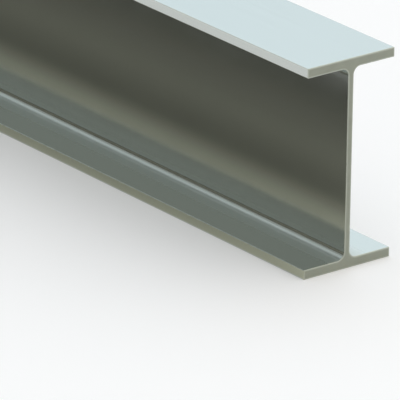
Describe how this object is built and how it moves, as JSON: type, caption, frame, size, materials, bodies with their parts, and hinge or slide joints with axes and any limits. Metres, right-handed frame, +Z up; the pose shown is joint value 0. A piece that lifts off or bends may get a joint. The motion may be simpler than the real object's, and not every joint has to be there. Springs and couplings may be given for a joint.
{
  "type": "steel i-beam",
  "caption": "Rolled steel I-beam stock for carrying loads in bending, with parallel flanges, filleted roots, a thin web and square saw-cut ends.",
  "frame": {"origin": "middle of the bottom flange's underside, halfway along the beam", "axes": "+Z up from the bottom flange to the top flange, Y along the beam with the end seen in the picture at -Y, X across the flanges"},
  "size_m": [0.1, 2, 0.203],
  "materials": {
    "rolled_steel": "clean satin mill finish with matt sawn ends"
  },
  "bodies": {
    "root": {"i_beam": "rolled_steel"}
  },
  "joints": []
}
